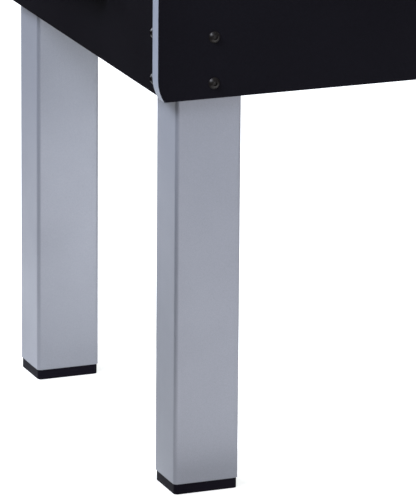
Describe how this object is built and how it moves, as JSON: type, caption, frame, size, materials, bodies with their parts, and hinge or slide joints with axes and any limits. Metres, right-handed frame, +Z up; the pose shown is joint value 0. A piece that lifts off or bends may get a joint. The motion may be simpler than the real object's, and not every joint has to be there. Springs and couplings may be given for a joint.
{
  "type": "foosball table",
  "caption": "Free-standing foosball table: black cabinet with silver edge bands on rectangular silver tube legs, with rods of men that slide and spin, goals, ball trays and score markers.",
  "frame": {"origin": "on the floor, under the centre of the table", "axes": "+X along the pitch towards the right-hand goal, +Y across the table away from the front side, +Z up"},
  "size_m": [1.484, 1.2766, 0.915],
  "materials": {
    "black_panel": "satin black melamine over board",
    "silver_band": "satin silver edge band",
    "silver_leg": "fine-textured silver powder coat",
    "foot_black": "moulded black plastic",
    "bolt_black": "black oxide steel",
    "pitch_green": "satin green laminate over board",
    "batten_wood": "plain softwood",
    "tray_black": "textured moulded black plastic",
    "housing_black": "moulded black nylon",
    "sleeve_nylon": "natural nylon",
    "rod_chrome": "polished chrome plate",
    "player_red": "moulded plastic, painted",
    "player_blue": "moulded plastic, painted",
    "grip_rubber": "ribbed black rubber",
    "bumper_rubber": "black rubber",
    "counter_steel": "polished steel",
    "marker_red": "moulded plastic",
    "marker_blue": "moulded plastic"
  },
  "bodies": {
    "cabinet": {"side_panel_front": "black_panel", "side_panel_back": "black_panel", "end_panel_left": "black_panel", "end_panel_right": "black_panel", "edge_bands": "silver_band", "playfield": "pitch_green", "field_battens": "batten_wood", "goal_walls": "pitch_green", "end_decks": "black_panel", "ball_trays": "tray_black", "leg_front_left": "silver_leg", "leg_front_right": "silver_leg", "leg_back_left": "silver_leg", "leg_back_right": "silver_leg", "leg_feet": "foot_black", "leg_bolts": "bolt_black", "bearing_housings": "housing_black", "counter_bars": "counter_steel"},
    "bearings_1": {"sleeves_1": "sleeve_nylon"},
    "row_1": {"rod_1": "rod_chrome", "players_1": "player_red", "handle_1": "grip_rubber", "bumpers_1": "bumper_rubber"},
    "bearings_2": {"sleeves_2": "sleeve_nylon"},
    "row_2": {"rod_2": "rod_chrome", "players_2": "player_red", "handle_2": "grip_rubber", "bumpers_2": "bumper_rubber"},
    "bearings_3": {"sleeves_3": "sleeve_nylon"},
    "row_3": {"rod_3": "rod_chrome", "players_3": "player_blue", "handle_3": "grip_rubber", "bumpers_3": "bumper_rubber"},
    "bearings_4": {"sleeves_4": "sleeve_nylon"},
    "row_4": {"rod_4": "rod_chrome", "players_4": "player_red", "handle_4": "grip_rubber", "bumpers_4": "bumper_rubber"},
    "bearings_5": {"sleeves_5": "sleeve_nylon"},
    "row_5": {"rod_5": "rod_chrome", "players_5": "player_blue", "handle_5": "grip_rubber", "bumpers_5": "bumper_rubber"},
    "bearings_6": {"sleeves_6": "sleeve_nylon"},
    "row_6": {"rod_6": "rod_chrome", "players_6": "player_red", "handle_6": "grip_rubber", "bumpers_6": "bumper_rubber"},
    "bearings_7": {"sleeves_7": "sleeve_nylon"},
    "row_7": {"rod_7": "rod_chrome", "players_7": "player_blue", "handle_7": "grip_rubber", "bumpers_7": "bumper_rubber"},
    "bearings_8": {"sleeves_8": "sleeve_nylon"},
    "row_8": {"rod_8": "rod_chrome", "players_8": "player_blue", "handle_8": "grip_rubber", "bumpers_8": "bumper_rubber"},
    "marker_left": {"counter_marker_left": "marker_red"},
    "marker_right": {"counter_marker_right": "marker_blue"}
  },
  "joints": [
    {"name": "spin_1", "type": "hinge", "parent": "cabinet", "child": "bearings_1", "pos_m": [-0.525, 0, 0.845], "axis": [0, 1, 0], "continuous": true},
    {"name": "slide_1", "type": "slide", "parent": "bearings_1", "child": "row_1", "axis": [0, 1, 0], "range_m": [-0.078, 0.078]},
    {"name": "spin_2", "type": "hinge", "parent": "cabinet", "child": "bearings_2", "pos_m": [-0.375, 0, 0.845], "axis": [0, 1, 0], "continuous": true},
    {"name": "slide_2", "type": "slide", "parent": "bearings_2", "child": "row_2", "axis": [0, 1, 0], "range_m": [-0.158, 0.158]},
    {"name": "spin_3", "type": "hinge", "parent": "cabinet", "child": "bearings_3", "pos_m": [-0.225, 0, 0.845], "axis": [0, 1, 0], "continuous": true},
    {"name": "slide_3", "type": "slide", "parent": "bearings_3", "child": "row_3", "axis": [0, 1, 0], "range_m": [-0.098, 0.098]},
    {"name": "spin_4", "type": "hinge", "parent": "cabinet", "child": "bearings_4", "pos_m": [-0.075, 0, 0.845], "axis": [0, 1, 0], "continuous": true},
    {"name": "slide_4", "type": "slide", "parent": "bearings_4", "child": "row_4", "axis": [0, 1, 0], "range_m": [-0.054, 0.054]},
    {"name": "spin_5", "type": "hinge", "parent": "cabinet", "child": "bearings_5", "pos_m": [0.075, 0, 0.845], "axis": [0, 1, 0], "continuous": true},
    {"name": "slide_5", "type": "slide", "parent": "bearings_5", "child": "row_5", "axis": [0, 1, 0], "range_m": [-0.054, 0.054]},
    {"name": "spin_6", "type": "hinge", "parent": "cabinet", "child": "bearings_6", "pos_m": [0.225, 0, 0.845], "axis": [0, 1, 0], "continuous": true},
    {"name": "slide_6", "type": "slide", "parent": "bearings_6", "child": "row_6", "axis": [0, 1, 0], "range_m": [-0.098, 0.098]},
    {"name": "spin_7", "type": "hinge", "parent": "cabinet", "child": "bearings_7", "pos_m": [0.375, 0, 0.845], "axis": [0, 1, 0], "continuous": true},
    {"name": "slide_7", "type": "slide", "parent": "bearings_7", "child": "row_7", "axis": [0, 1, 0], "range_m": [-0.158, 0.158]},
    {"name": "spin_8", "type": "hinge", "parent": "cabinet", "child": "bearings_8", "pos_m": [0.525, 0, 0.845], "axis": [0, 1, 0], "continuous": true},
    {"name": "slide_8", "type": "slide", "parent": "bearings_8", "child": "row_8", "axis": [0, 1, 0], "range_m": [-0.078, 0.078]},
    {"name": "score_left", "type": "slide", "parent": "cabinet", "child": "marker_left", "axis": [0, 1, 0], "range_m": [0, 0.123]},
    {"name": "score_right", "type": "slide", "parent": "cabinet", "child": "marker_right", "axis": [0, -1, 0], "range_m": [0, 0.123]}
  ]
}
